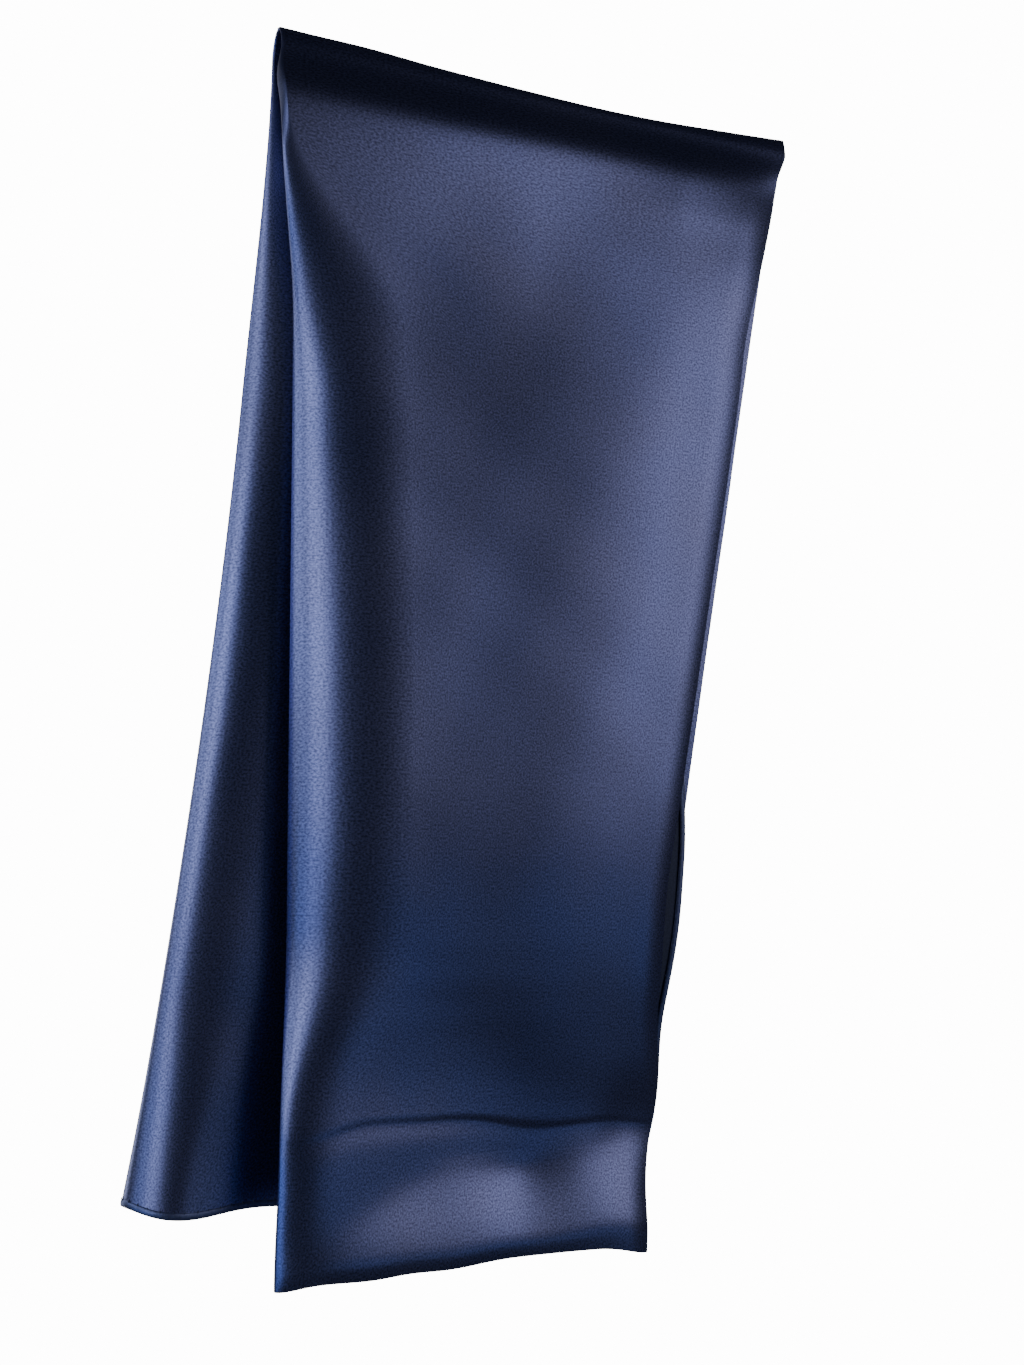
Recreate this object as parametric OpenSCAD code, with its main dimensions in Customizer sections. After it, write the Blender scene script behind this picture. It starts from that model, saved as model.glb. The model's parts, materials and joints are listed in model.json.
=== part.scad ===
// Satin dress scarf, folded once lengthwise and hung over a rail.
// +X runs along the rail, the front fall hangs at -Y, the back fall at +Y, +Z is up.
// The origin is the middle of the rail's axis. The lengthwise fold is at -X, the open hemmed edges at +X.

/* [Rail] */
// Diameter of the rail that the cloth hangs over
rail_d = 12; // [8:1:20]

/* [Cloth] */
// Width of the folded cloth where it crosses the rail
folded_w = 250; // [200:5:300]
// Thickness of one ply
ply_t = 0.6; // [0.4:0.1:0.8]
// Gap between the two plies where they cross the rail
ply_gap = 0.8; // [0.6:0.1:1.2]

/* [Front fall] */
// Height of the front fall, from the rail's axis to its bottom edge
front_drop = 495; // [400:5:560]
// How far the fold edge comes in towards the middle at the bottom
front_left_in = 9; // [0:1:10]
// How far the open edge's top corner draws in as it leaves the rail
front_corner_in = 18; // [0:1:25]
// How much the open edge comes in for each millimetre of height, in thousandths
front_right_slant = 170; // [80:5:200]
// How far the outer ply stands out in front of the rail
front_billow = 10; // [4:1:14]
// Height of the shoulder over which the outer ply swells out
shoulder_h = 40; // [40:5:90]
// Height of the deep hem, which is turned in between the plies
deep_hem_h = 57; // [40:1:80]
// Depth of the valley in the outer ply along the top of the deep hem
valley_depth = 3; // [0:0.5:4]

/* [Back fall] */
// Height of the back fall, from the rail's axis to its bottom edge
back_drop = 470; // [400:2:560]
// How far the fold edge flares outwards at the bottom
back_left_out = 48; // [10:1:60]
// How far the open edge comes in towards the middle at the bottom
back_right_in = 70; // [20:1:90]
// How far the under ply leans away from the rail at the bottom
back_under_lean = 12; // [4:1:20]
// How far the outer ply leans away from the rail at the bottom
back_outer_lean = 30; // [22:1:50]

/* [Hems] */
// Height of the rolled hem along the long edges and the narrow end
hem_w = 3; // [2:0.5:5]
// Thickness of the rolled hem
hem_t = 1.2; // [1:0.1:1.4]
// Diameter of the hem's sewing thread
thread_t = 0.3; // [0.2:0.05:0.3]

/* [Hidden] */
$fn = 64;

satin = "midnightblue";
hem_satin = "darkslateblue";
thread = "black";

rail_r = rail_d / 2;
half_w = folded_w / 2;
// Outer face of each ply on the rail
under_r = rail_r + ply_t;
outer_r = under_r + ply_gap + ply_t;
// The falls start this far below the rail's axis, so that they clear the top bend as they swing
top_gap = 2;
// What is turned in lies this far from the ply beside it
layer_gap = 0.4;
hem_step = (hem_t - ply_t) / 2;
// Half length of a solid that reaches past the cloth on every side
reach = folded_w + front_drop;
// Number of straight steps in each edge and each drape line
steps = 18;

// Rises smoothly from 0 to 1 as t goes from 0 to 1
function ease(t) = let(c = min(1, max(0, t))) c * c * (3 - 2 * c);
// A bump that is 1 at zero and fades out at one
function bump(t) = 1 - ease(abs(t));
// Height over which the front fall's open edge has slanted, down to h: it hangs plumb near the bottom
function slant_h(h) = let(a = 0.66 * front_drop, b = 0.3 * front_drop, t = min(1, max(0, (h - a) / b)))
    min(h, a) + b / 2 * (1 - pow(1 - t, 2));
function reverse(v) = [for (i = [len(v) - 1:-1:0]) v[i]];
function heights(low, high) = [for (i = [0:steps]) high + (low - high) * i / steps];

// Front fall: the outer faces of both plies, and both long edges, at a height z
function front_outer_y(z) = -outer_r - front_billow * ease(-z / shoulder_h)
    + valley_depth * bump((z - deep_hem_top) / 45);
function front_under_y(z) = -under_r;
function front_left_x(z) = -half_w + front_left_in * -z / front_drop;
function front_right_x(z) = half_w - front_corner_in * (1 - exp(z / 12))
    - front_right_slant / 1000 * slant_h(-z);

// Back fall: the same
function back_outer_y(z) = outer_r + back_outer_lean * pow(-z / back_drop, 1.2);
function back_under_y(z) = under_r + back_under_lean * pow(-z / back_drop, 1.2);
function back_left_x(z) = -half_w - back_left_out * pow(-z / back_drop, 1.6);
function back_right_x(z) = half_w - back_right_in * -z / back_drop;

// A drape line or an edge as points, moved sideways by shift
function front_outer(zs, shift) = [for (z = zs) [front_outer_y(z) + shift, z]];
function front_under(zs, shift) = [for (z = zs) [front_under_y(z) + shift, z]];
function front_left(zs, shift) = [for (z = zs) [front_left_x(z) + shift, z]];
function front_right(zs, shift) = [for (z = zs) [front_right_x(z) + shift, z]];
function back_outer(zs, shift) = [for (z = zs) [back_outer_y(z) + shift, z]];
function back_under(zs, shift) = [for (z = zs) [back_under_y(z) + shift, z]];
function back_left(zs, shift) = [for (z = zs) [back_left_x(z) + shift, z]];
function back_right(zs, shift) = [for (z = zs) [back_right_x(z) + shift, z]];

front_zs = heights(-front_drop, -top_gap);
// The plies end where the deep hem's bottom turn or the rolled hem begins
front_ply_zs = heights(-front_drop + ply_t, -top_gap);
deep_hem_top = -front_drop + deep_hem_h;
deep_hem_zs = heights(-front_drop + ply_t, deep_hem_top);
back_zs = heights(-back_drop, -top_gap);
back_ply_zs = heights(-back_drop + hem_w, -top_gap);

// The space between two drape lines, all along X
module drape(line_a, line_b) {
    translate([-reach, 0, 0])
        rotate([90, 0, 90])
            linear_extrude(2 * reach)
                polygon(concat(line_a, reverse(line_b)));
}

// The space between two long edges, all along Y
module outline(edge_a, edge_b) {
    translate([0, reach, 0])
        rotate([90, 0, 0])
            linear_extrude(2 * reach)
                polygon(concat(edge_a, reverse(edge_b)));
}

// A half ring over the rail, from x_low to x_high
module half_ring(r_in, r_out, x_low, x_high) {
    translate([x_low, 0, 0])
        rotate([90, 0, 90])
            linear_extrude(x_high - x_low)
                intersection() {
                    difference() {
                        circle(r_out);
                        circle(r_in);
                    }
                    translate([-2 * r_out, 0])
                        square([4 * r_out, 2 * r_out]);
                }
}

// Top bend, over the rail
module top_outer_ply() {
    color(satin) half_ring(outer_r - ply_t, outer_r, -half_w, half_w - hem_w);
}

module top_under_ply() {
    color(satin) half_ring(rail_r, under_r, -half_w, half_w - hem_w);
}

module top_fold_edge() {
    color(satin) half_ring(under_r, outer_r - ply_t, -half_w, -half_w + ply_t);
}

module top_side_hems() {
    color(hem_satin) {
        half_ring(outer_r - ply_t, outer_r + 2 * hem_step, half_w - hem_w, half_w);
        half_ring(rail_r, under_r + hem_step, half_w - hem_w, half_w);
    }
}

module top_side_threads() {
    color(thread)
        half_ring(outer_r, outer_r + thread_t, half_w - hem_w - thread_t, half_w - hem_w);
}

// Front fall
module front_outer_ply() {
    color(satin)
        intersection() {
            drape(front_outer(front_ply_zs, 0), front_outer(front_ply_zs, ply_t));
            outline(front_left(front_zs, 0), front_right(front_zs, -hem_w));
        }
}

module front_under_ply() {
    color(satin)
        intersection() {
            drape(front_under(front_ply_zs, 0), front_under(front_ply_zs, ply_t));
            outline(front_left(front_zs, 0), front_right(front_zs, -hem_w));
        }
}

module front_fold_edge() {
    color(satin)
        intersection() {
            drape(front_outer(front_ply_zs, ply_t), front_under(front_ply_zs, 0));
            outline(front_left(front_zs, 0), front_left(front_zs, ply_t));
        }
}

module front_outer_side_hem() {
    color(hem_satin)
        intersection() {
            drape(front_outer(front_ply_zs, -hem_step), front_outer(front_ply_zs, ply_t + hem_step));
            outline(front_right(front_zs, -hem_w), front_right(front_zs, 0));
        }
}

module front_under_side_hem() {
    color(hem_satin)
        intersection() {
            drape(front_under(front_ply_zs, -hem_step), front_under(front_ply_zs, ply_t));
            outline(front_right(front_zs, -hem_w), front_right(front_zs, 0));
        }
}

// Where the deep hem lies across the width: clear of the fold edge and of the side hem
module deep_hem_outline() {
    outline(front_left(front_zs, ply_t + layer_gap), front_right(front_zs, -hem_w - layer_gap));
}

// The turn along the bottom edge, from the ply to the turned-in layer
module bottom_turn(y_low, y_high) {
    translate([-reach, y_low, -front_drop])
        cube([2 * reach, y_high - y_low, ply_t]);
}

module front_outer_deep_hem() {
    bottom_y = front_outer_y(-front_drop);
    color(satin)
        intersection() {
            union() {
                drape(front_outer(deep_hem_zs, ply_t + layer_gap),
                    front_outer(deep_hem_zs, 2 * ply_t + layer_gap));
                bottom_turn(bottom_y, bottom_y + 2 * ply_t + layer_gap);
            }
            deep_hem_outline();
        }
}

module front_under_deep_hem() {
    bottom_y = front_under_y(-front_drop);
    color(satin)
        intersection() {
            union() {
                drape(front_under(deep_hem_zs, -layer_gap), front_under(deep_hem_zs, -layer_gap - ply_t));
                bottom_turn(bottom_y - layer_gap - ply_t, bottom_y + ply_t);
            }
            deep_hem_outline();
        }
}

// Sewing threads lie in the step between a hem and its ply
module front_side_threads() {
    color(thread)
        intersection() {
            union() {
                drape(front_outer(front_ply_zs, -thread_t), front_outer(front_ply_zs, 0));
                drape(front_under(front_ply_zs, -thread_t), front_under(front_ply_zs, 0));
            }
            outline(front_right(front_zs, -hem_w - thread_t), front_right(front_zs, -hem_w));
        }
}

module front_deep_hem_threads() {
    thread_zs = heights(deep_hem_top, deep_hem_top + thread_t);
    color(thread)
        intersection() {
            union() {
                drape(front_outer(thread_zs, ply_t + layer_gap), front_outer(thread_zs, 2 * ply_t + layer_gap));
                drape(front_under(thread_zs, -layer_gap), front_under(thread_zs, -layer_gap - ply_t));
            }
            deep_hem_outline();
        }
}

// Back fall
module back_outer_ply() {
    color(satin)
        intersection() {
            drape(back_outer(back_ply_zs, 0), back_outer(back_ply_zs, -ply_t));
            outline(back_left(back_zs, 0), back_right(back_zs, -hem_w));
        }
}

module back_under_ply() {
    color(satin)
        intersection() {
            drape(back_under(back_ply_zs, 0), back_under(back_ply_zs, -ply_t));
            outline(back_left(back_zs, 0), back_right(back_zs, -hem_w));
        }
}

module back_fold_edge() {
    color(satin)
        intersection() {
            drape(back_outer(back_ply_zs, -ply_t), back_under(back_ply_zs, 0));
            outline(back_left(back_zs, 0), back_left(back_zs, ply_t));
        }
}

module back_outer_side_hem() {
    color(hem_satin)
        intersection() {
            drape(back_outer(back_zs, hem_step), back_outer(back_zs, -ply_t - hem_step));
            outline(back_right(back_zs, -hem_w), back_right(back_zs, 0));
        }
}

module back_under_side_hem() {
    color(hem_satin)
        intersection() {
            drape(back_under(back_zs, hem_step), back_under(back_zs, -ply_t));
            outline(back_right(back_zs, -hem_w), back_right(back_zs, 0));
        }
}

// The lowest stretch of the back fall, where its narrow end hem runs
end_zs = heights(-back_drop, -back_drop + hem_w);

module back_outer_end_hem() {
    color(hem_satin)
        intersection() {
            drape(back_outer(end_zs, hem_step), back_outer(end_zs, -ply_t - hem_step));
            outline(back_left(back_zs, 0), back_right(back_zs, -hem_w));
        }
}

module back_under_end_hem() {
    color(hem_satin)
        intersection() {
            drape(back_under(end_zs, hem_step), back_under(end_zs, -ply_t - hem_step));
            outline(back_left(back_zs, 0), back_right(back_zs, -hem_w));
        }
}

module back_side_threads() {
    color(thread)
        intersection() {
            union() {
                drape(back_outer(back_ply_zs, thread_t), back_outer(back_ply_zs, 0));
                drape(back_under(back_ply_zs, thread_t), back_under(back_ply_zs, 0));
            }
            outline(back_right(back_zs, -hem_w - thread_t), back_right(back_zs, -hem_w));
        }
}

module back_end_threads() {
    thread_zs = heights(-back_drop + hem_w, -back_drop + hem_w + thread_t);
    color(thread)
        intersection() {
            union() {
                drape(back_outer(thread_zs, thread_t), back_outer(thread_zs, 0));
                drape(back_under(thread_zs, -ply_t - thread_t), back_under(thread_zs, -ply_t));
            }
            outline(back_left(back_zs, 0), back_right(back_zs, -hem_w - thread_t));
        }
}

top_outer_ply();
top_under_ply();
top_fold_edge();
top_side_hems();
top_side_threads();
front_outer_ply();
front_under_ply();
front_fold_edge();
front_outer_side_hem();
front_under_side_hem();
front_outer_deep_hem();
front_under_deep_hem();
front_side_threads();
front_deep_hem_threads();
back_outer_ply();
back_under_ply();
back_fold_edge();
back_outer_side_hem();
back_under_side_hem();
back_outer_end_hem();
back_under_end_hem();
back_side_threads();
back_end_threads();
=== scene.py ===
"""Looks of the navy satin scarf, folded once lengthwise and hung over a rail.

+X runs along the rail, the front fall hangs at -Y, the back fall at +Y, +Z is up. All lengths are in metres.
The cloth is one ruled grid: rows follow its length over the rail, columns run across the cut,
from the outer ply's open edge round the lengthwise fold to the under ply's open edge.
"""

import json
import math

import bmesh
import bpy
import numpy as np
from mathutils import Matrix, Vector


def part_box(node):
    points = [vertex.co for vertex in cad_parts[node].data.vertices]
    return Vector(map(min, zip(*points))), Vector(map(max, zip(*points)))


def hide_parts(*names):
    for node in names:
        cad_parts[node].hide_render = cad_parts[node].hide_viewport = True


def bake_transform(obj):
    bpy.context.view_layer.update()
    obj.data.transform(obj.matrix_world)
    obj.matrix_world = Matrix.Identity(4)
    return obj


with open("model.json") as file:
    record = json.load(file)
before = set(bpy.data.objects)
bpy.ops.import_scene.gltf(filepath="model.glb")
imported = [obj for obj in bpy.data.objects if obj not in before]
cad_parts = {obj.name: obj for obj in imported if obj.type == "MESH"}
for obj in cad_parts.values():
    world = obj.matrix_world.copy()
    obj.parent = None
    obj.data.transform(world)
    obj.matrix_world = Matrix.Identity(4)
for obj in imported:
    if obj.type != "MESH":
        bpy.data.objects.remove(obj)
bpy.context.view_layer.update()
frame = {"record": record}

MM = 0.001

# Sizes taken from the frame
RAIL_R = frame["record"]["mounts"][0]["dims"]["r_mm"] * MM
HALF_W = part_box("top_outer_ply")[1].x + (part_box("top_side_hems")[1].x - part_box("top_outer_ply")[1].x)
FRONT_DROP = -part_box("front_outer_deep_hem")[0].z
BACK_DROP = -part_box("back_outer_end_hem")[0].z
DEEP_HEM_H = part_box("front_outer_deep_hem")[1].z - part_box("front_outer_deep_hem")[0].z

# The cloth. UNDER_R and OUTER_R are its two plies' distances from the rail's axis, on the rail
PLY_T = 0.3 * MM
UNDER_R = RAIL_R + 0.35 * MM
OUTER_R = RAIL_R + 1.5 * MM
MIDDLE_R = (OUTER_R + UNDER_R) / 2
HEM_W = 3.0 * MM
HEM_T = 1.1 * MM

# The sewing: the stitches' spacing, and the length and radius of what shows of each
STITCH_PITCH = 4.8 * MM
BLIND_PITCH = 9 * MM
SIDE_STITCH = (1.0 * MM, 0.13 * MM)
END_STITCH = (1.3 * MM, 0.2 * MM)
BLIND_STITCH = (0.8 * MM, 0.14 * MM)


# ---------------------------------------------------------------- small maths


def ease(t):
    """Rises smoothly from 0 to 1 as t goes from 0 to 1."""
    c = np.clip(t, 0.0, 1.0)
    return c * c * (3 - 2 * c)


def hump(t):
    """A smooth bump, 1 at zero, that fades with the square of t."""
    return np.exp(-t * t)


# The ripples' lengths with their headings and phases. Each is RIPPLE_STEEPNESS of its length high, and u
# from 0 to 1 crosses RIPPLE_W of them
ripple_random = np.random.default_rng(11)
RIPPLE_STEEPNESS = 0.0012
RIPPLE_W = 0.22
RIPPLES = [
    (length * MM, ripple_random.uniform(0, math.pi), ripple_random.uniform(0, 2 * math.pi))
    for length in (170, 140, 115, 96, 80, 66, 55, 47, 40)
]


def ripple(x, h):
    """The faint unevenness of hanging satin: a few long waves, each crossing the cloth at its own angle."""
    total = 0.0
    for length, heading, phase in RIPPLES:
        along = x * math.cos(heading) + h * math.sin(heading)
        total = total + RIPPLE_STEEPNESS * length * np.sin(2 * math.pi * along / length + phase)
    return total


# ---------------------------------------------------------------- the drape
#
# Both falls are described the same way. At depth h below the rail's axis a fall's section runs from its
# fold edge, at `left`, to its open edge, at `right`. `outer` and `under` say how far out each ply stands
# from the rail's axis, u across from the fold (0) to the open edge (1). `middle` says how far out the
# fold's very edge stands, and the two `roll` widths over how much of the cloth each ply rolls round into
# it. "Outwards" is -Y in front and +Y behind. Rows on the rail have negative h.


def near_hem(h):
    """Rises from 0 to 1 as the front fall comes down to its stiff deep hem."""
    return ease((h - 0.36) / 0.09)


def off_rail(h):
    """Rises from 0 to 1 as the cloth comes off the rail, where it is pulled smooth."""
    return ease(h / 0.06)


def kept_forward(h):
    """How far the front fold still lies forward with the outer ply, just below the rail."""
    return 15 * MM * ease(h / 0.05) * (1 - ease((h - 0.05) / 0.1))


def front_left(h):
    """The fold edge of the front fall. It draws in below the rail and spreads again at the hem."""
    drawn_in = 9 * MM * ease((h - 0.01) / 0.1) - 2.2 * MM * hump((h - 0.012) / 0.012)
    drawn_in = drawn_in - 0.4 * kept_forward(h)
    spread_by_hem = 6.8 * MM * near_hem(h) + 1.5 * MM * ease((h - 0.44) / 0.055)
    return -HALF_W + drawn_in - spread_by_hem


def below_corner(h):
    """The share of its fullness that the open side has just below the rail's end."""
    return ease(h / 0.045) * (1 - ease((h - 0.06) / 0.1))


def front_right(h):
    """The open edge of the front fall: it draws in at the top corner, slants, and ends plumb."""
    slope = 0.175
    straight = 0.66 * FRONT_DROP
    turn = 0.3 * FRONT_DROP
    turned = np.clip((h - straight) / turn, 0.0, 1.0)
    slanted = slope * (np.clip(h, 0, straight) + turn / 2 * (1 - (1 - turned) ** 2))
    round_rail = 3.7 * MM * math.sqrt(1 - min(max(-h / UNDER_R, 0.0), 1.0) ** 2)
    drawn_in = round_rail + 4.3 * MM * ease((h + 0.002) / 0.017) + 11 * MM * ease((h - 0.02) / 0.085)
    fuller = 4.5 * MM * ease((h - 0.33) / 0.06) + 7.5 * MM * hump((h - 0.432) / 0.03)
    return HALF_W - slanted - drawn_in - 2.5 * MM * below_corner(h) + fuller


def front_right_under(h):
    """The under ply's open edge, which shows a little past the outer one low down."""
    return front_right(h) + 15.5 * MM * hump((h - 0.342) / 0.065)


def leaving(h, reach):
    """The share of its bulge that the cloth has gained on its way off the rail, h below the axis."""
    return 1 - np.exp(-(((h + OUTER_R) / reach) ** 3))


def crease_h(u):
    """Depth of the blind-stitched top of the deep hem, u across from the fold."""
    wave = 0.7 * MM * np.sin(19 * u + 1.0) - 2.2 * MM * hump((u - 0.36) / 0.2)
    lower_ends = 3.5 * MM * (1 - ease((u - 0.02) / 0.2)) + 3.8 * MM * ease((u - 0.4) / 0.26)
    return FRONT_DROP - DEEP_HEM_H + wave + lower_ends


def hem_hollow(u, h):
    """How deep the hollow over the deep hem is. It deepens from the fold across, and the hem's own face
    stands out again below the crease, so that the two meet along a line that slants down to the fold."""
    from_crease = h - crease_h(u)
    down = np.clip(from_crease / DEEP_HEM_H, 0, 1.1)
    deepest = 11.5 * MM
    beside_fold = deepest * ease(u / 0.62)
    hem_face = deepest * (1 - 0.4 * down - 0.55 * ease(down))
    hem_face = hem_face - 2 * MM * (1 - ease(u / 0.7)) * ease(1.5 * down)
    meeting = 1.3 * MM
    nearer = -meeting * np.logaddexp(-beside_fold / meeting, -hem_face / meeting)
    return nearer * hump(np.minimum(from_crease, 0) / 0.06)


def front_outer(u, h):
    """How far out the outer ply stands from the rail's axis, u across from the fold and h down."""
    # The cloth swells out below the rail, but less where the open corner curls back towards it
    by_corner = ease((h + 0.008) / 0.035) * (1 - ease((h + 0.01) / 0.095))
    curl = np.clip((u - 0.78) / 0.22, 0, 1) ** 1.5 * by_corner
    shoulder = 10.5 * MM * leaving(h, 20.5 * MM) * (1 - 0.9 * curl)
    shoulder = shoulder + 5 * MM * ease((u - 0.5) / 0.5) * below_corner(h)
    belly = 3.5 * MM * ease(h / 0.3) * (1 - ease((h - 0.3) / 0.13))
    # The open side stands out more than the middle, and most a hand's breadth below the rail
    forward = (4.5 + 6 * hump((h - 0.14) / 0.08)) * MM * ease((h - 0.02) / 0.11)
    forward = forward - 1.2 * MM * hump((h - 0.035) / 0.025)
    crown = forward * (1 - 1.1 * ease((h - 0.41) / 0.06)) * (ease((u - 0.2) / 0.64) - 0.5)
    # The open edge itself bends back a little
    edge = 2.6 * MM * ease(h / 0.05) * np.clip((u - 0.925) / 0.075, 0, 1) ** 2
    # The deep hem: the hollow over it, a small dent in its face, its edge turned in, its stitched line,
    # sharp above and soft below, and the drag of its corner
    from_crease = h - crease_h(u)
    valley = hem_hollow(u, h) + 2.5 * MM * hump((u - 0.5) / 0.33) * ease((h - 0.435) / 0.04)
    pocket = 1.6 * MM * hump((u - 0.62) / 0.12) * hump((from_crease - 0.017) / 0.014)
    round_h = (7 + 8 * hump((u - 1) / 0.2)) * MM
    rounded = 2.2 * MM * ease((h - FRONT_DROP + round_h) / (round_h + 2 * MM)) ** 1.5 + pocket
    firmness = 0.45 + 0.55 * hump((u - 0.5) / 0.33)
    wall = np.where(from_crease < 0, 1.8 * MM, 6 * MM)
    stitched = 0.6 * MM * firmness * hump(from_crease / wall) + rounded
    dragged = 3 * MM * hump((u - 0.94) / 0.1) * hump((h - FRONT_DROP + 0.053) / 0.017)
    # Faint unevenness all over, and fine level creases low in the middle
    uneven = 0.6 * ripple(u * RIPPLE_W, h) * off_rail(h) * (1 - 0.6 * ease((u - 0.9) / 0.1))
    creases = 0.05 * MM * np.sin(h / (2.6 * MM)) * hump((h - 0.375) / 0.03) * hump((u - 0.4) / 0.3)
    return OUTER_R + shoulder + belly + crown + uneven + creases - edge - valley - stitched - dragged


def front_under(u, h):
    """The same for the under ply, which curls away from the outer one beside the fold."""
    loose = 1.2 * MM * ease(h / 0.1) * (1 - np.cos(2 * math.pi * u)) / 2
    curled = (9 * MM * ease(h / 0.08) - 0.8 * kept_forward(h)) * hump(u / 0.16)
    curled = curled * (1 - near_hem(h))
    return UNDER_R + loose - curled - 0.5 * hem_hollow(u, h)


def front_middle(h):
    """How far out the fold's very edge stands."""
    near_rail = MIDDLE_R + kept_forward(h)
    return near_rail - 9 * MM * ease(h / 0.09) + 13.5 * MM * near_hem(h)


def front_roll(h):
    """Width over which the outer ply rolls round into the fold."""
    return 1.0 * MM + 43 * MM * ease((h - 0.025) / 0.09) - 15 * MM * ease((h - 0.36) / 0.1)


def front_under_roll(h):
    """The same for the under ply."""
    return 0.8 * MM + 22 * MM * ease(h / 0.08) - 12 * MM * ease((h - 0.42) / 0.075)


def share_down(h):
    """How far down the back fall depth h is, from 0 at the rail's axis to 1 at its bottom edge."""
    return max(h, 0.0) / BACK_DROP


def back_left(h):
    """The fold edge of the back fall, which flares outwards."""
    s = share_down(h)
    return -HALF_W - 48 * MM * s**1.6 - 1.5 * MM * s**1.2


def back_right(h):
    """The open edge of the back fall."""
    s = share_down(h)
    return HALF_W - 70 * MM * s - 8 * MM * ease((s - 0.75) / 0.25)


def back_outer(u, h):
    """How far out the back fall's outer ply stands. It swings out in one broad, soft fold."""
    s = share_down(h)
    fold = 5 * MM * ease(h / 0.2) * hump(u / 0.15)
    swing = 1.6 * MM * s * np.sin(9.5 * u + 1.2) + 2.6 * MM * s * hump((u - 0.62 + 0.1 * s) / 0.13)
    uneven = ripple(u * RIPPLE_W + 0.4, h) * off_rail(h)
    return OUTER_R + 3 * MM * leaving(h, 50 * MM) + 25 * MM * s**1.2 + swing + fold + uneven


def back_under(u, h):
    """The same for the under ply, which kicks forward at the bottom beside the fold."""
    s = share_down(h)
    kick = 6.5 * MM * (1 - ease(u / 0.5)) * (max(h - 0.385, 0.0) / 0.085) ** 1.5
    uneven = ripple(u * RIPPLE_W + 0.9, h) * off_rail(h)
    return UNDER_R + 6 * MM * s**1.2 + 12 * MM * u * s**0.8 - kick + uneven


def back_middle(h):
    """How far out the back fold's very edge stands."""
    s = share_down(h)
    return MIDDLE_R + 10 * MM * ease(h / 0.14) + 6 * MM * s**1.2


def back_roll(h):
    """Width over which the outer ply rolls round into the back fold."""
    return 1.0 * MM + 20 * MM * ease(h / 0.1)


def back_under_roll(h):
    """The same for the under ply, which is the side that shows beside the front fall."""
    opened = 1.0 * MM + 45 * MM * ease(h / 0.12)
    return opened - 17 * MM * ease((h - 0.15) / 0.2) - 8 * MM * ease((h - 0.39) / 0.07)


# The grid: columns across each ply's flat part and its roll, rows round the rail, and the rows' spacing
OUTER_COLUMNS = 90
ROLL_COLUMNS = 18
UNDER_COLUMNS = 70
RAIL_ROWS = 9
ROW_PITCH = 3.3 * MM
CLOSE_ROW_PITCH = 0.9 * MM


def section_half(x0, x1, wide, edge, ply, columns, h):
    """Half a section: x across and distance out, from the fold's edge to one ply's open edge. The ply
    closes onto the fold's edge along a quarter of an ellipse."""
    turn = np.linspace(0, math.pi / 2, ROLL_COLUMNS + 1)
    across = np.linspace(0, 1, columns + 1)[1:]
    x = np.concatenate([x0 + wide * (1 - np.cos(turn)), x0 + wide + (x1 - x0 - wide) * across])
    closing = np.concatenate([np.sin(turn), np.ones(len(across))])
    return x, edge + (ply((x - x0) / (x1 - x0), h) - edge) * closing


def spread(h, left, right, under_right, outer, under, middle, outer_roll, under_roll):
    """One row of a fall's section at depth h, as x across and distance out from the rail's axis."""
    x0 = left(h)
    edge = middle(h)
    x_outer, out_outer = section_half(x0, right(h), outer_roll(h), edge, outer, OUTER_COLUMNS, h)
    x_under, out_under = section_half(x0, under_right(h), under_roll(h), edge, under, UNDER_COLUMNS, h)
    x = np.concatenate([x_outer[::-1], x_under[1:]])
    return x, np.concatenate([out_outer[::-1], out_under[1:]])


def corner_lift(x):
    """The stiff fold and hems lift the cloth a little off the rail at both ends."""
    across = np.clip((x + HALF_W) / (2 * HALF_W), 0, 1)
    sag = 4 * MM * np.sin(math.pi * across**1.15) + 1.3 * MM * hump((across - 0.64) / 0.2)
    return 4 * MM - sag + 0.8 * MM * hump((across - 0.16) / 0.08)


def front_rise(x, h):
    """How far the front's bottom edge rises across its width."""
    u = np.clip((x - front_left(h)) / (front_right(h) - front_left(h)), 0, 1)
    swell = 5 * MM * ease(u / 0.85) - 2 * MM * ease((u - 0.85) / 0.15)
    wave = 0.8 * MM * np.sin(22 * u) * hump((u - 0.35) / 0.2) - 1.2 * MM * hump((u - 0.38) / 0.09)
    corner = 1.8 * MM * hump(u / 0.06) + 1.2 * MM * hump((1 - u) / 0.06)
    return (swell + wave - corner) * ease((h - 0.4) / 0.095)


def back_rise(x, h):
    """How the back's bottom edge waves across its width."""
    wave = 5 * MM * hump((x + 0.18) / 0.011) - 1.5 * MM * hump((x + 0.15) / 0.015)
    return (wave + 2 * MM * hump((x + 0.125) / 0.025)) * ease((h - 0.38) / 0.09)


def depths(drop, fine=None):
    """The depths of a fall's rows: evenly spaced, and closer around the depth `fine`."""
    h = np.linspace(0, drop, round(drop / ROW_PITCH) + 1)
    if fine is None:
        return h
    close = np.arange(fine - 8 * MM, fine + 14 * MM, CLOSE_ROW_PITCH)
    return np.concatenate([h[h < close[0] - 1 * MM], close, h[h > close[-1] + 1 * MM]])


def fall_rows(sign, row_depths, rise, parts):
    """Every row of a fall from the top line down to its bottom edge, as an array of points.
    sign is -1 in front and +1 behind."""
    rows = []
    for angle in np.linspace(0, math.pi / 2, RAIL_ROWS)[:-1]:
        above = UNDER_R * math.cos(angle)
        x, out = spread(-above, *parts)
        top = spread(-UNDER_R, *parts)[1]
        lift = corner_lift(x) * math.cos(angle) ** 2
        rows.append(np.column_stack([x, sign * out * math.sin(angle), top * math.cos(angle) + lift]))
    for h in row_depths:
        x, out = spread(h, *parts)
        rows.append(np.column_stack([x, sign * out, rise(x, h) - h]))
    return np.array(rows)


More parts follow.
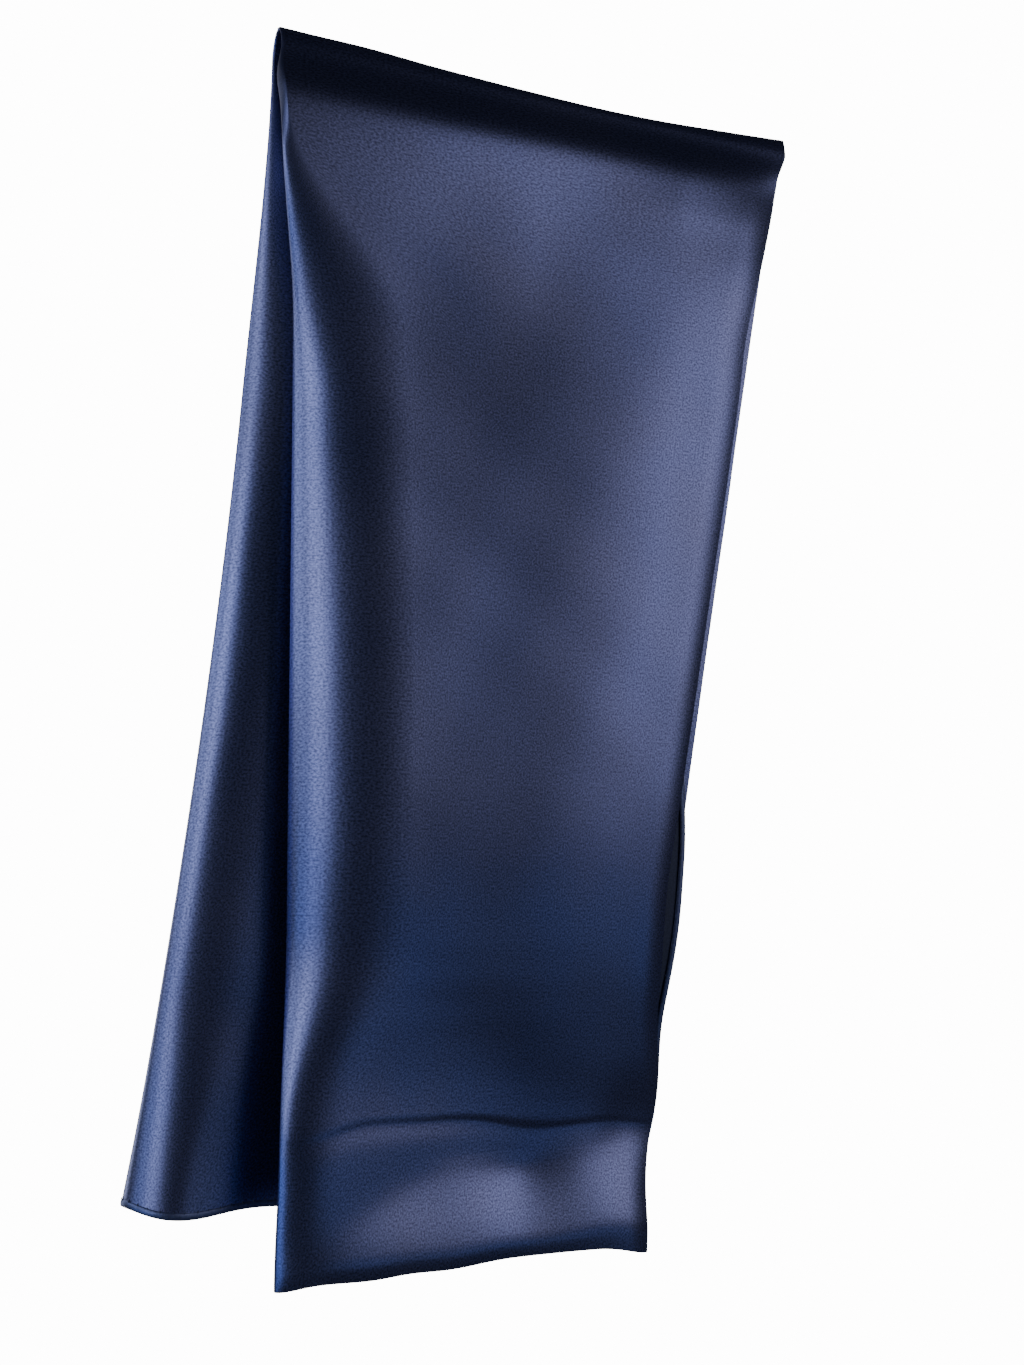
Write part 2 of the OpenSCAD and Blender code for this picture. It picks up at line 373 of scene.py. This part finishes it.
def grid_normals(points):
    """Unit normals of a grid of points, out of the folded cloth."""
    down = np.gradient(points, axis=0)
    across = np.gradient(points, axis=1)
    n = np.cross(across, down)
    return n / np.maximum(np.linalg.norm(n, axis=2, keepdims=True), 1e-12)


def turned_in(points, normals, height, gap):
    """The rows of a deep hem: round the bottom edge and up again inside the fold."""
    rows = []
    bottom, n = points[-1], normals[-1]
    for angle in np.linspace(0, math.pi, 6)[1:]:
        inwards = gap / 2 * (1 - math.cos(angle))
        rows.append(bottom - n * inwards - np.array([0, 0, gap / 2 * math.sin(angle)]))
    for i in range(len(points) - 2, 0, -1):
        if points[i, 0, 2] - points[-1, 0, 2] > height:
            break
        rows.append(points[i] - normals[i] * gap)
    return np.array(rows)


# ---------------------------------------------------------------- meshes


def add_mesh(name, verts, faces, normals, uv, materials, second_from=None):
    """Makes an object. normals and uv hold one row per vertex. A zero normal leaves its corner flat.
    Faces from second_from on take the second material."""
    mesh = bpy.data.meshes.new(name)
    mesh.from_pydata(verts.tolist(), [], [tuple(f) for f in faces])
    loops = np.zeros(len(mesh.loops), np.int32)
    mesh.loops.foreach_get("vertex_index", loops)
    layer = mesh.uv_layers.new(name="weave")
    layer.data.foreach_set("uv", uv[loops].astype(np.float32).ravel())
    mesh.polygons.foreach_set("use_smooth", np.ones(len(mesh.polygons), bool))
    for material in materials:
        mesh.materials.append(material)
    if second_from is not None:
        which = (np.arange(len(mesh.polygons)) >= second_from).astype(np.int32)
        mesh.polygons.foreach_set("material_index", which)
    mesh.update()
    mesh.normals_split_custom_set(normals[loops].tolist())
    obj = bpy.data.objects.new(name, mesh)
    bpy.context.scene.collection.objects.link(obj)
    return obj


def faces_outwards(points, normals, quads):
    """True if the quads wind so that they face along the normals."""
    a, b, c = (points[quads[:, k]] for k in range(3))
    return np.sum(np.cross(b - a, c - a) * normals[quads[:, 0]]) > 0


def running_length(points, axis):
    """Length along one axis of a grid of points, averaged over the other."""
    step = np.linalg.norm(np.diff(points, axis=axis), axis=2)
    return np.concatenate([[0], np.cumsum(step.mean(axis=1 - axis))])


def cloth_piece(name, points, normals, materials):
    """A closed thin sheet from a grid: the right side, then the wrong side and the rim between them."""
    rows, columns = points.shape[:2]
    count = rows * columns
    index = np.arange(count).reshape(rows, columns)
    quads = np.stack([index[:-1, :-1], index[:-1, 1:], index[1:, 1:], index[1:, :-1]], 2).reshape(-1, 4)
    ring = np.concatenate([index[0, :-1], index[:-1, -1], index[-1, :0:-1], index[:0:-1, 0]])
    following = np.roll(ring, -1)
    # The rim has its own vertices, so that its corners can stay flat
    rim = 2 * count + np.arange(2 * len(ring)).reshape(2, -1)
    after = np.roll(rim, -1, axis=1)
    edge = np.stack([rim[0], rim[1], after[1], after[0]], 1)
    flat_points, n = points.reshape(-1, 3), normals.reshape(-1, 3)
    if not faces_outwards(flat_points, n, quads):
        quads, edge = quads[:, ::-1], edge[:, ::-1]
    faces = np.concatenate([quads, quads[:, ::-1] + count, edge])
    right, wrong = flat_points + n * PLY_T / 2, flat_points - n * PLY_T / 2
    verts = np.concatenate([right, wrong, right[ring], wrong[ring]])
    all_normals = np.concatenate([n, -n, np.zeros((2 * len(ring), 3))])
    uv = np.stack(
        [np.tile(running_length(points, 1), rows), np.repeat(running_length(points, 0), columns)], 1
    )
    uv = np.concatenate([uv, uv, uv[ring], uv[ring]])
    return add_mesh(name, verts, faces, all_normals, uv, materials, second_from=len(quads))


def roll_piece(name, centres, side, normals, width, height, material, sides=12):
    """A flattened roll of cloth that follows a line, capped at both ends."""
    count = len(centres)
    angle = 2 * math.pi * np.arange(sides) / sides
    sideways = np.cos(angle)[None, :, None]
    upwards = np.sin(angle)[None, :, None]
    ring = centres[:, None] + side[:, None] * sideways * width / 2 + normals[:, None] * upwards * height / 2
    radial = side[:, None] * sideways * height + normals[:, None] * upwards * width
    radial = radial / np.linalg.norm(radial, axis=2, keepdims=True)
    index = np.arange(count * sides).reshape(count, sides)
    following = np.roll(index, -1, axis=1)
    quads = np.stack([index[:-1], following[:-1], following[1:], index[1:]], 2).reshape(-1, 4)
    # The caps have their own vertices, so that their corners can stay flat
    start = count * sides + np.arange(sides)
    end = start + sides
    caps = [start[::-1], end]
    if not faces_outwards(ring.reshape(-1, 3), radial.reshape(-1, 3), quads):
        quads, caps = quads[:, ::-1], [cap[::-1] for cap in caps]
    faces = [tuple(f) for f in quads] + [tuple(cap) for cap in caps]
    verts = np.concatenate([ring.reshape(-1, 3), ring[0], ring[-1]])
    all_normals = np.concatenate([radial.reshape(-1, 3), np.zeros((2 * sides, 3))])
    along = np.concatenate([[0], np.cumsum(np.linalg.norm(np.diff(centres, axis=0), axis=1))])
    round_it = np.arange(sides) / sides * (width + height)
    uv = np.stack([np.tile(round_it, count), np.repeat(along, sides)], 1)
    uv = np.concatenate([uv, uv[:sides], uv[-sides:]])
    return add_mesh(name, verts, faces, all_normals, uv, [material])


def stitches_piece(name, centres, along, normals, length, radius, material):
    """A row of short stitches, each a little rounded bar lying on the cloth."""
    sides = 8
    # Each station's place along the stitch and its share of the full radius
    stations = ((-0.5, 0.0), (-0.4, 0.75), (-0.2, 1.0), (0.2, 1.0), (0.4, 0.75), (0.5, 0.0))
    across = np.cross(along, normals)
    # Sewn by hand: no stitch lies quite on the line or is quite as long as the next
    by_hand = np.random.default_rng(23).uniform(-1, 1, (len(centres), 2))
    centres = centres + across * by_hand[:, :1] * 0.35 * MM
    verts = []
    norms = []
    faces = []
    uv = []
    for centre, run, up, aside in zip(centres, along * (1 + 0.3 * by_hand[:, 1:]), normals, across):
        base = len(verts)
        for place, size in stations[1:-1]:
            for k in range(sides):
                angle = 2 * math.pi * k / sides
                out = aside * math.cos(angle) + up * math.sin(angle)
                arch = up * radius * 0.6 * (1 - (2 * place) ** 2)
                verts.append(centre + run * place * length + out * radius * size + arch)
                norms.append(out * 0.8 + run * place)
                uv.append((k * radius, place * length))
        for place, _ in (stations[0], stations[-1]):
            verts.append(centre + run * place * length)
            norms.append(run * place)
            uv.append((0, place * length))
        inner = len(stations) - 2
        for j in range(inner - 1):
            ring = base + j * sides
            next_ring = ring + sides
            for k in range(sides):
                m = (k + 1) % sides
                faces.append((ring + k, next_ring + k, next_ring + m, ring + m))
        first_tip = base + inner * sides
        last_tip = first_tip + 1
        last_ring = base + (inner - 1) * sides
        for k in range(sides):
            m = (k + 1) % sides
            faces.append((first_tip, base + k, base + m))
            faces.append((last_tip, last_ring + m, last_ring + k))
    norms = np.array(norms)
    norms /= np.linalg.norm(norms, axis=1, keepdims=True)
    return add_mesh(name, np.array(verts), faces, norms, np.array(uv), [material])


# ---------------------------------------------------------------- materials


def fabric_material(name, dye, shine, rough, grain_depth, mottle):
    """Woven cloth. dye is its colour, shine how metal-like its sheen is, rough its mean roughness,
    grain_depth the bump's height in metres, and mottle how much the colour varies from speck to speck."""
    material = bpy.data.materials.new(name)
    material.use_nodes = True
    nodes = material.node_tree.nodes
    links = material.node_tree.links
    shader = nodes["Principled BSDF"]
    weave = nodes.new("ShaderNodeUVMap")
    weave.uv_map = "weave"

    def noise(scale_across, scale_along, detail):
        """Noise laid along the weave, in features per metre each way."""
        place = nodes.new("ShaderNodeMapping")
        place.inputs["Scale"].default_value = (scale_across, scale_along, 1)
        texture = nodes.new("ShaderNodeTexNoise")
        texture.inputs["Scale"].default_value = 1.0
        texture.inputs["Detail"].default_value = detail
        links.new(weave.outputs["UV"], place.inputs["Vector"])
        links.new(place.outputs["Vector"], texture.inputs["Vector"])
        return texture.outputs["Fac"]

    def to_range(value, low, high):
        """The noise's usual values, spread from low to high."""
        spread_out = nodes.new("ShaderNodeMapRange")
        spread_out.inputs["From Min"].default_value = 0.3
        spread_out.inputs["From Max"].default_value = 0.7
        spread_out.inputs["To Min"].default_value = low
        spread_out.inputs["To Max"].default_value = high
        links.new(value, spread_out.inputs["Value"])
        return spread_out.outputs["Result"]

    # Threads of 0.4 by 0.8 mm, specks of 0.8 mm, and clouds of 45 by 70 mm
    threads = noise(2600, 1300, 1.0)
    specks = noise(1250, 1150, 1.0)
    clouds = noise(22, 14, 2.0)

    tone = nodes.new("ShaderNodeMix")
    tone.data_type = "RGBA"
    tone.inputs["A"].default_value = (*[c * (1 - mottle) for c in dye], 1)
    tone.inputs["B"].default_value = (*[c * (1 + mottle) for c in dye], 1)
    links.new(to_range(specks, 0, 1), tone.inputs["Factor"])
    cast = nodes.new("ShaderNodeMix")
    cast.data_type = "RGBA"
    cast.blend_type = "MULTIPLY"
    cast.inputs["Factor"].default_value = 1
    cloud_tone = nodes.new("ShaderNodeMix")
    cloud_tone.data_type = "RGBA"
    cloud_tone.inputs["A"].default_value = (0.92, 0.95, 1.0, 1)
    cloud_tone.inputs["B"].default_value = (1.0, 0.98, 0.95, 1)
    links.new(to_range(clouds, 0, 1), cloud_tone.inputs["Factor"])
    links.new(tone.outputs["Result"], cast.inputs["A"])
    links.new(cloud_tone.outputs["Result"], cast.inputs["B"])
    links.new(cast.outputs["Result"], shader.inputs["Base Color"])

    links.new(to_range(clouds, rough - 0.02, rough + 0.02), shader.inputs["Roughness"])

    height = nodes.new("ShaderNodeMath")
    height.operation = "ADD"
    links.new(threads, height.inputs[0])
    links.new(specks, height.inputs[1])
    bump = nodes.new("ShaderNodeBump")
    bump.inputs["Strength"].default_value = 1.0
    bump.inputs["Distance"].default_value = grain_depth
    links.new(height.outputs["Value"], bump.inputs["Height"])
    links.new(bump.outputs["Normal"], shader.inputs["Normal"])

    shader.inputs["Metallic"].default_value = shine
    return material


# ---------------------------------------------------------------- build

satin = fabric_material(
    "navy_satin", dye=(0.17, 0.188, 0.40), shine=0.98, rough=0.34, grain_depth=0.02 * MM, mottle=0.42
)
wrong_side = fabric_material(
    "navy_satin_wrong_side", dye=(0.07, 0.085, 0.17), shine=0.5, rough=0.6, grain_depth=0.04 * MM,
    mottle=0.2,
)
hem_satin = fabric_material(
    "navy_hem_satin", dye=(0.13, 0.155, 0.32), shine=0.85, rough=0.42, grain_depth=0.04 * MM, mottle=0.16
)
thread = fabric_material(
    "navy_thread", dye=(0.06, 0.075, 0.15), shine=0.0, rough=0.7, grain_depth=0.05 * MM, mottle=0.3
)

# The shape of each fall, in the order in which spread() takes it
FRONT = (
    front_left, front_right, front_right_under, front_outer, front_under, front_middle, front_roll,
    front_under_roll,
)
BACK = (
    back_left, back_right, back_right, back_outer, back_under, back_middle, back_roll, back_under_roll,
)
front_depths = depths(FRONT_DROP, fine=FRONT_DROP - DEEP_HEM_H)
front_points = fall_rows(-1, front_depths, front_rise, FRONT)
back_points = fall_rows(1, depths(BACK_DROP), back_rise, BACK)

# The normals are found on the whole cloth at once, so that no line shows where it is divided on the rail
whole_normals = grid_normals(np.concatenate([back_points[:0:-1], front_points]))
divide = len(back_points) - 1
front_normals = whole_normals[divide:]
back_normals = whole_normals[: divide + 1][::-1]

# The deep hem's inner layer lies this far inside the outer one
HEM_GAP = 0.9 * MM
deep_hem = turned_in(front_points, front_normals, DEEP_HEM_H, HEM_GAP)
front_grid = np.concatenate([front_points, deep_hem])
front_grid_normals = grid_normals(front_grid)
# Only the bottom edge and the turned-in rows need normals of their own
kept = len(front_points) - 3
front_grid_normals[:kept] = front_normals[:kept]


def finish_piece(piece):
    """Bakes a piece's placing into its mesh."""
    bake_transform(piece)
    return piece


def at_pitch(line, pitch, first=0.0):
    """Rows' indices, at even spacing along a line of points."""
    along = np.concatenate([[0], np.cumsum(np.linalg.norm(np.diff(line, axis=0), axis=1))])
    return np.interp(np.arange(first, along[-1] - pitch / 2, pitch), along, np.arange(len(line)))


def between(values, places):
    """Rows of values at fractional places."""
    low = np.floor(places).astype(int)
    low = np.minimum(low, len(values) - 2)
    t = (places - low)[:, None]
    return values[low] * (1 - t) + values[low + 1] * t


def unit(vectors):
    """The vectors, each made one long."""
    return vectors / np.linalg.norm(vectors, axis=-1, keepdims=True)


def side_hem(points, normals, column, name):
    """The rolled hem along an open long edge, and its stitches. column is the edge's, 0 or -1."""
    inward = 3 if column == 0 else -4
    side = unit(points[:, inward] - points[:, column])
    out = normals[:, column]
    centres = points[:, column] + side * (HEM_W / 2 - 0.2 * MM) - out * HEM_T / 2
    roll = roll_piece(name + "_hem", centres, side, out, HEM_W, HEM_T, hem_satin)
    places = at_pitch(centres, STITCH_PITCH, STITCH_PITCH / 2)
    across = unit(between(side, places))
    up = unit(between(out, places))
    seats = between(centres, places) + across * HEM_W * 0.4 + up * (HEM_T + PLY_T) / 2
    sewn = stitches_piece(name + "_stitches", seats, across, up, *SIDE_STITCH, thread)
    return [finish_piece(roll), finish_piece(sewn)]


front_cloth = finish_piece(
    cloth_piece("front_cloth", front_grid, front_grid_normals, [satin, wrong_side])
)
back_cloth = finish_piece(
    cloth_piece("back_cloth", back_points, back_normals, [satin, wrong_side])
)

front_sewn = side_hem(front_points, front_normals, 0, "front_outer")
front_sewn += side_hem(front_points, front_normals, -1, "front_under")
back_sewn = side_hem(back_points, back_normals, 0, "back_outer")
back_sewn += side_hem(back_points, back_normals, -1, "back_under")

# The narrow rolled hem across the back's end runs round the fold from one ply to the other
end_line = back_points[-1]
end_normals = back_normals[-1]
end_side = unit(back_points[-4] - end_line)
end_centres = end_line + end_side * HEM_W / 2
end_hem = roll_piece("back_end_hem", end_centres, end_side, end_normals, HEM_W, HEM_T, hem_satin)
places = at_pitch(end_centres, STITCH_PITCH, STITCH_PITCH / 2)
end_seats = between(end_centres + end_side * HEM_W * 0.45, places)
end_across = unit(between(end_side, places))
end_up = unit(between(end_normals, places))
end_stitches = stitches_piece(
    "back_end_stitches", end_seats + end_up * PLY_T, end_across, end_up, *END_STITCH, thread
)
back_sewn += [finish_piece(end_hem)]
back_sewn += [finish_piece(end_stitches)]

# The blind stitches of the deep hem only just catch the outer face
u_of_column = (front_points[-1, :, 0] - front_left(FRONT_DROP)) / (
    front_right(FRONT_DROP) - front_left(FRONT_DROP)
)
crease_rows = np.interp(crease_h(u_of_column), front_depths, np.arange(len(front_depths))) + RAIL_ROWS - 1
columns = np.arange(front_points.shape[1])
crease_row = np.floor(crease_rows).astype(int)
crease_line = front_points[crease_row, columns]
crease_normals = front_normals[crease_row, columns]
places = at_pitch(crease_line, BLIND_PITCH, 4 * MM)
runs = unit(between(np.gradient(crease_line, axis=0), places))
blind_up = unit(between(crease_normals, places))
blind = stitches_piece(
    "deep_hem_stitches", between(crease_line, places), runs, blind_up, *BLIND_STITCH, thread
)
front_sewn += [finish_piece(blind)]

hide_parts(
    "top_outer_ply", "top_fold_edge", "front_outer_ply", "front_under_ply", "front_fold_edge",
    "front_outer_deep_hem", "front_under_deep_hem",
)
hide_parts("top_under_ply", "back_outer_ply", "back_under_ply", "back_fold_edge")
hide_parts("front_outer_side_hem", "top_side_hems")
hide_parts("front_under_side_hem")
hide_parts("front_side_threads", "top_side_threads")
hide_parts("front_deep_hem_threads")
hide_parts("back_outer_side_hem")
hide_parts("back_under_side_hem")
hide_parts("back_outer_end_hem", "back_under_end_hem")
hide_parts("back_side_threads")
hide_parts("back_end_threads")

# ---------------------------------------------------------------- stage, light, camera

CENTRE = Vector((0, 0, -0.25))
DAYLIGHT = (0.8, 0.88, 1.0, 1)
BACKGROUND_GLOW = 14.0

camera_data = bpy.data.cameras.new("camera")
camera_data.lens = 50.1
camera_data.sensor_width = 36
camera_data.shift_y = 0.058
camera = bpy.data.objects.new("camera", camera_data)
bpy.context.scene.collection.objects.link(camera)
camera.location = (-0.374, -0.715, -0.365)
camera.rotation_euler = (math.radians(95.5), 0, math.radians(-26.52))
bpy.context.scene.camera = camera


def soft_light(name, azimuth, elevation, distance, width, height, power, colour):
    """A rectangular soft box aimed at the middle of the cloth. Azimuth 0 is in front, and 90 is at +X."""
    round_it = math.radians(azimuth)
    above_it = math.radians(elevation)
    data = bpy.data.lights.new(name, "AREA")
    data.shape = "RECTANGLE"
    data.size = width
    data.size_y = height
    data.energy = power
    data.color = colour
    light = bpy.data.objects.new(name, data)
    bpy.context.scene.collection.objects.link(light)
    level = math.cos(above_it)
    out = Vector((math.sin(round_it) * level, -math.cos(round_it) * level, math.sin(above_it)))
    light.location = CENTRE + out * distance
    light.rotation_euler = (-out).to_track_quat("-Z", "Y").to_euler()


# Name, azimuth, elevation, distance, width, height, power and colour
soft_light("key", 40.5, 19, 1.6, 0.95, 1.0, 3.6, (1.0, 0.96, 0.92))
soft_light("low_fill", 30, -14, 1.6, 0.9, 0.4, 0.35, (0.45, 0.64, 1.0))
soft_light("window", -51, 13, 1.6, 0.9, 0.7, 4.5, (0.88, 0.93, 1.0))
soft_light("low_blue", -70, -12, 1.6, 1.6, 0.4, 2.8, (0.3, 0.52, 1.0))
soft_light("side_left", -98, 15, 1.6, 1.5, 0.6, 4.6, (0.84, 0.91, 1.0))
soft_light("behind_left", 207, 4, 1.9, 0.8, 1.5, 5.0, (0.9, 0.95, 1.0))
soft_light("behind_right", 134, 2, 1.9, 0.9, 1.5, 8.0, (1.0, 0.97, 0.93))
soft_light("above", 180, 30, 1.7, 1.2, 0.5, 0.8, (1.0, 0.98, 0.96))

FLOOR_Z = -1.1
FLOOR_R = 6.0
floor_mesh = bpy.data.meshes.new("floor")
disc = bmesh.new()
bmesh.ops.create_circle(disc, cap_ends=True, segments=96, radius=FLOOR_R)
disc.to_mesh(floor_mesh)
disc.free()
floor = bpy.data.objects.new("floor", floor_mesh)
floor.location = (0, 0, FLOOR_Z)
bpy.context.scene.collection.objects.link(floor)

# The floor looks pale, with a faint shade painted into its glow under the cloth, but throws hardly any light
# up at the satin
floor_paint = bpy.data.materials.new("pale_floor")
floor_paint.use_nodes = True
nodes = floor_paint.node_tree.nodes
links = floor_paint.node_tree.links
nodes.remove(nodes["Principled BSDF"])
where = nodes.new("ShaderNodeTexCoord")
reach = nodes.new("ShaderNodeVectorMath")
reach.operation = "LENGTH"
links.new(where.outputs["Object"], reach.inputs[0])
# Painted shade: the floor's glow is dimmer near the middle, under the cloth, and full beyond 2 m
floor_glow_painted_shade = nodes.new("ShaderNodeMapRange")
floor_glow_painted_shade.interpolation_type = "SMOOTHSTEP"
floor_glow_painted_shade.inputs["From Min"].default_value = 0.2
floor_glow_painted_shade.inputs["From Max"].default_value = 2.0
floor_glow_painted_shade.inputs["To Min"].default_value = 3.0
floor_glow_painted_shade.inputs["To Max"].default_value = BACKGROUND_GLOW
links.new(reach.outputs["Value"], floor_glow_painted_shade.inputs["Value"])
shown = nodes.new("ShaderNodeEmission")
links.new(floor_glow_painted_shade.outputs["Result"], shown.inputs["Strength"])
glow = nodes.new("ShaderNodeEmission")
glow.inputs["Color"].default_value = DAYLIGHT
glow.inputs["Strength"].default_value = 0.05
ray = nodes.new("ShaderNodeLightPath")
choose = nodes.new("ShaderNodeMixShader")
links.new(ray.outputs["Is Camera Ray"], choose.inputs["Fac"])
links.new(glow.outputs["Emission"], choose.inputs[1])
links.new(shown.outputs["Emission"], choose.inputs[2])
links.new(choose.outputs["Shader"], nodes["Material Output"].inputs["Surface"])
floor_mesh.materials.append(floor_paint)

# The world does the same: a pale backdrop that gives only a trace of fill light
world = bpy.data.worlds.new("studio")
bpy.context.scene.world = world
world.use_nodes = True
nodes = world.node_tree.nodes
links = world.node_tree.links
dim = nodes["Background"]
dim.inputs["Color"].default_value = DAYLIGHT
dim.inputs["Strength"].default_value = 0.02
pale = nodes.new("ShaderNodeBackground")
pale.inputs["Color"].default_value = (1, 1, 1, 1)
pale.inputs["Strength"].default_value = BACKGROUND_GLOW
ray = nodes.new("ShaderNodeLightPath")
choose = nodes.new("ShaderNodeMixShader")
links.new(ray.outputs["Is Camera Ray"], choose.inputs["Fac"])
links.new(dim.outputs["Background"], choose.inputs[1])
links.new(pale.outputs["Background"], choose.inputs[2])
links.new(choose.outputs["Shader"], nodes["World Output"].inputs["Surface"])
